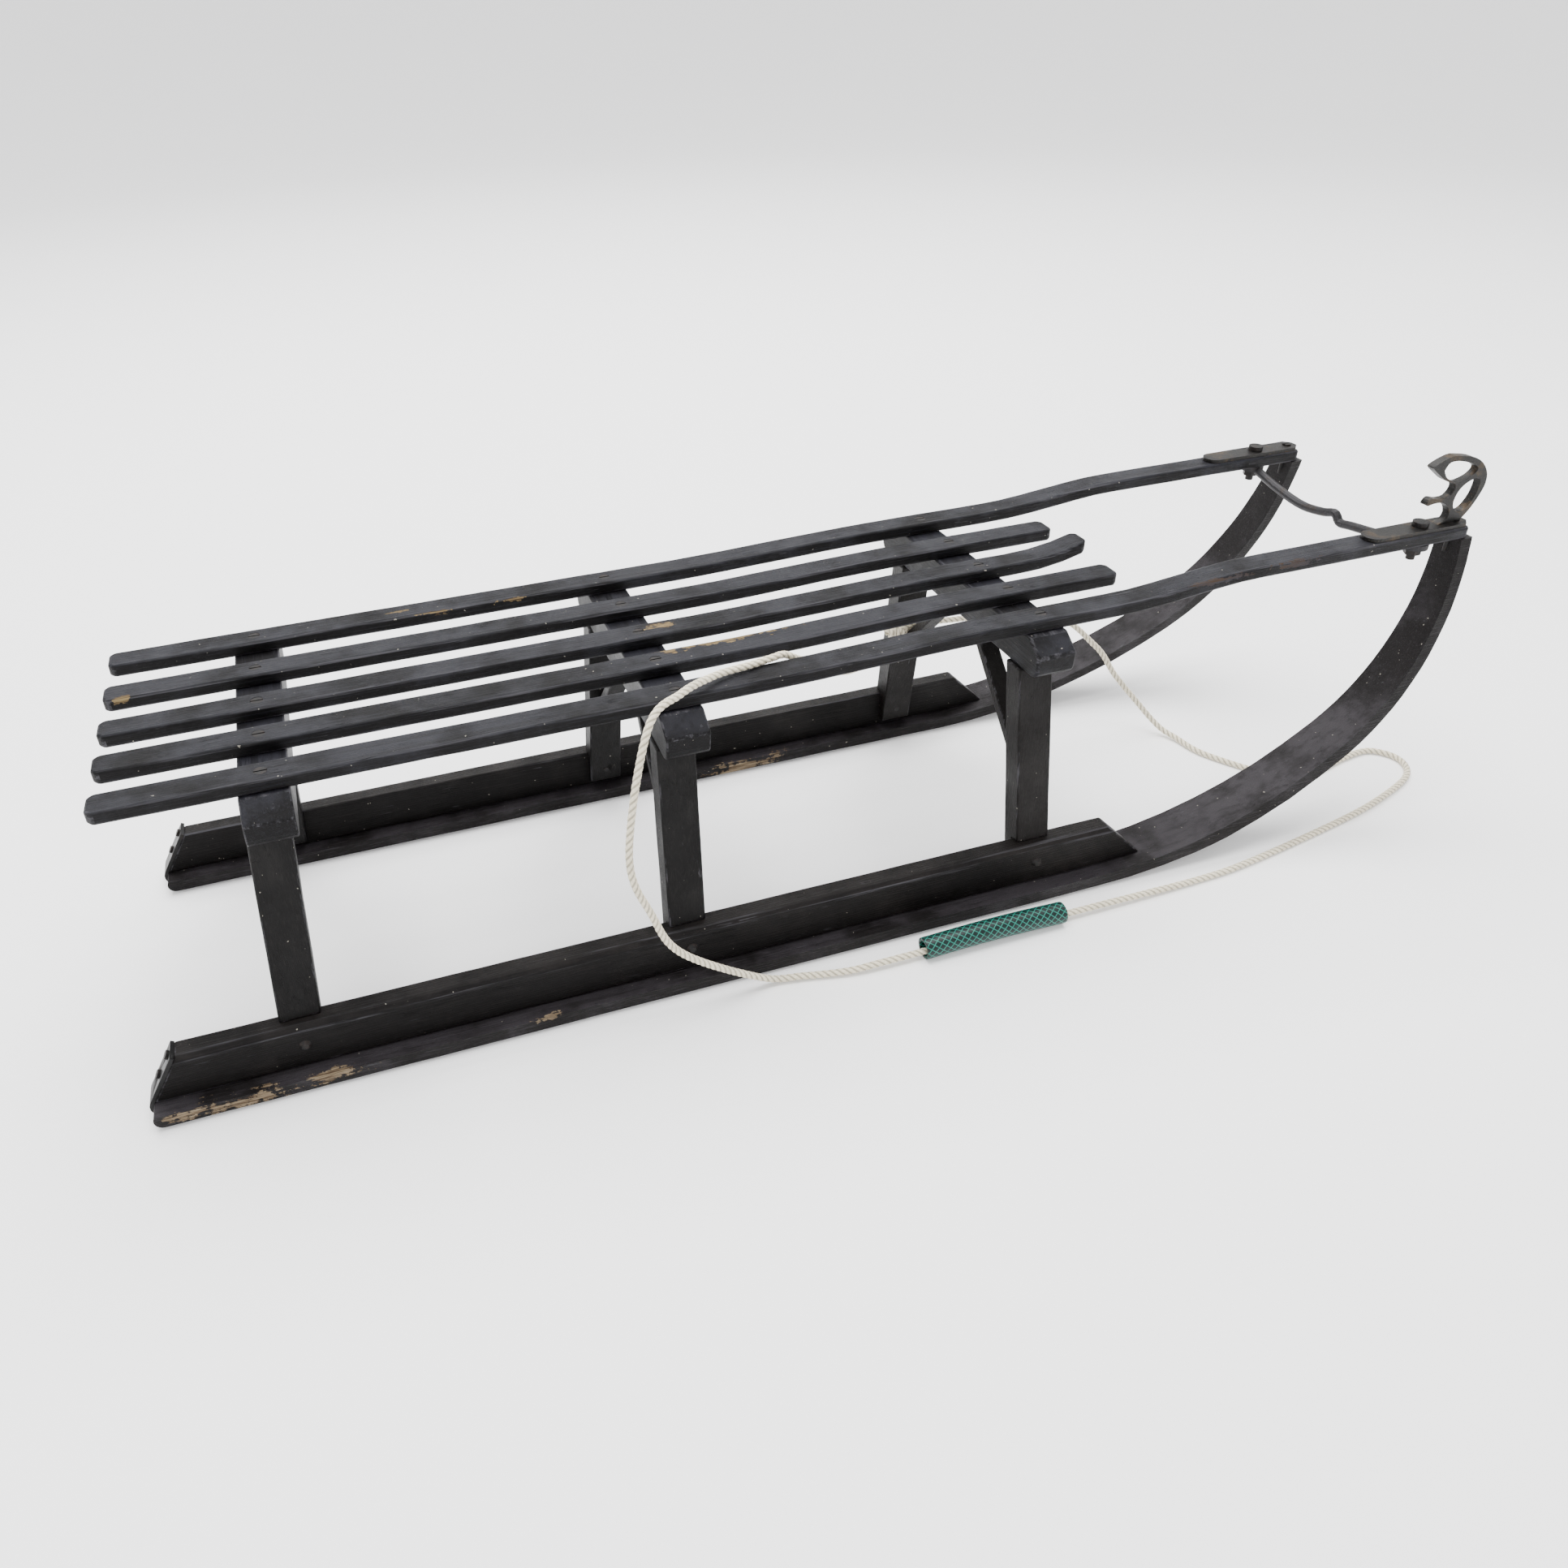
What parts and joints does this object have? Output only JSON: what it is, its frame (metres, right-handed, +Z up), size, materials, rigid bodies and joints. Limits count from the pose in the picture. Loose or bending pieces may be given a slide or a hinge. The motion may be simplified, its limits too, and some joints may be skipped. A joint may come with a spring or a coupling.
{
  "type": "wooden sled",
  "caption": "Slatted wooden sled with rails on trestles, bent-wood runners with steel soles, a wavy tie rod, a scroll horn and a pull rope with a hose grip.",
  "frame": {"origin": "on the ground, midway between the heels and the scroll's front, on the centre line between the runners", "axes": "+X forward to the runners' tips, +Y to the rider's left, +Z up"},
  "size_m": [1.1603, 0.349, 0.3264],
  "materials": {
    "seat_wood": "worn black paint with a dull blue-grey sheen",
    "frame_wood": "worn black paint, cracked, with bare tan chips",
    "runner_wood": "thin brownish black paint over bent wood",
    "sole_steel": "dark worn steel strip",
    "fixings": "dark rusted screws, nails, bolts and nuts",
    "cast_iron": "dark cast iron with brown worn edges",
    "rod_iron": "dull dark iron rod",
    "rope": "cream twisted cotton rope",
    "hose": "dark green garden hose with a light braid"
  },
  "bodies": {
    "root": {"rail_left": "seat_wood", "rail_right": "seat_wood", "slat_left": "seat_wood", "slat_middle": "seat_wood", "slat_right": "seat_wood", "crossbar_rear": "frame_wood", "crossbar_middle": "frame_wood", "crossbar_front": "frame_wood", "post_rear_left": "frame_wood", "post_rear_right": "frame_wood", "post_middle_left": "frame_wood", "post_middle_right": "frame_wood", "post_front_left": "frame_wood", "post_front_right": "frame_wood", "brace_rear_left": "frame_wood", "brace_rear_right": "frame_wood", "brace_middle_left": "frame_wood", "brace_middle_right": "frame_wood", "brace_front_left": "frame_wood", "brace_front_right": "frame_wood", "runner_beam_left": "frame_wood", "runner_beam_right": "frame_wood", "runner_lath_left": "runner_wood", "runner_lath_right": "runner_wood", "runner_sole_left": "sole_steel", "runner_sole_right": "sole_steel", "slat_screws": "fixings", "foot_rivets": "fixings", "heel_nails": "fixings", "sole_screws": "fixings", "tip_screws": "fixings", "horn_tang_left": "cast_iron", "scroll_horn_right": "cast_iron", "tip_bolt_left": "fixings", "tip_bolt_right": "fixings", "tip_nut_left": "fixings", "tip_nut_right": "fixings", "tie_rod": "rod_iron", "pull_rope": "rope", "rope_knot": "rope", "hose_grip": "hose"}
  },
  "joints": []
}
